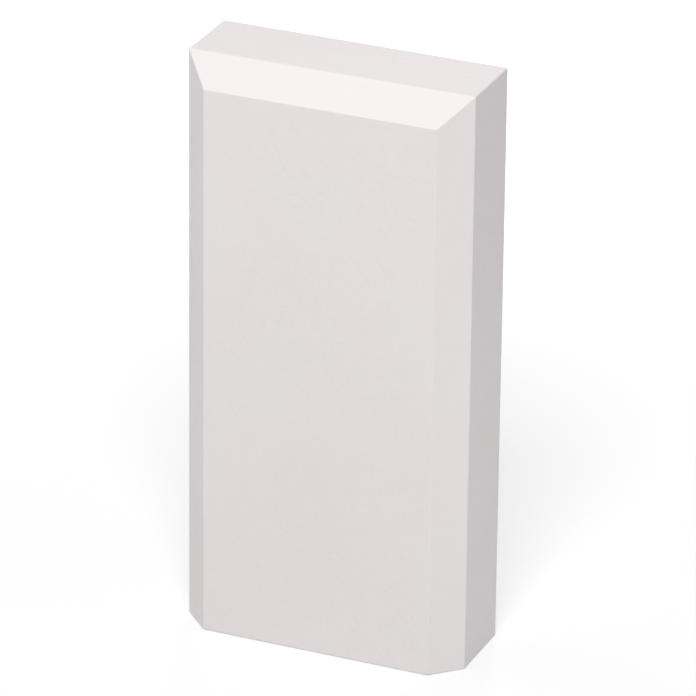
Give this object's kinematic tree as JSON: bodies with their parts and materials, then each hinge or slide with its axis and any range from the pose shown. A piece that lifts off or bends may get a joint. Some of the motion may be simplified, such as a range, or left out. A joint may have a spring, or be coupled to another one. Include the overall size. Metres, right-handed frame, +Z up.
{
  "type": "plinth block",
  "caption": "White rectangular plinth block with mitred bevels along the sides and top of its face; stands at the foot of a door casing and ends the skirting beside it.",
  "frame": {"origin": "middle of the bottom face, on the floor, halfway between the wall and the face", "axes": "+X along the wall, +Y from the room to the wall, +Z up; the bevelled face looks along -Y"},
  "size_m": [0.095, 0.035, 0.194],
  "materials": {
    "primed_polyurethane": "smooth factory-primed off-white, matte to low satin"
  },
  "bodies": {
    "root": {"plinth_block": "primed_polyurethane"}
  },
  "joints": []
}
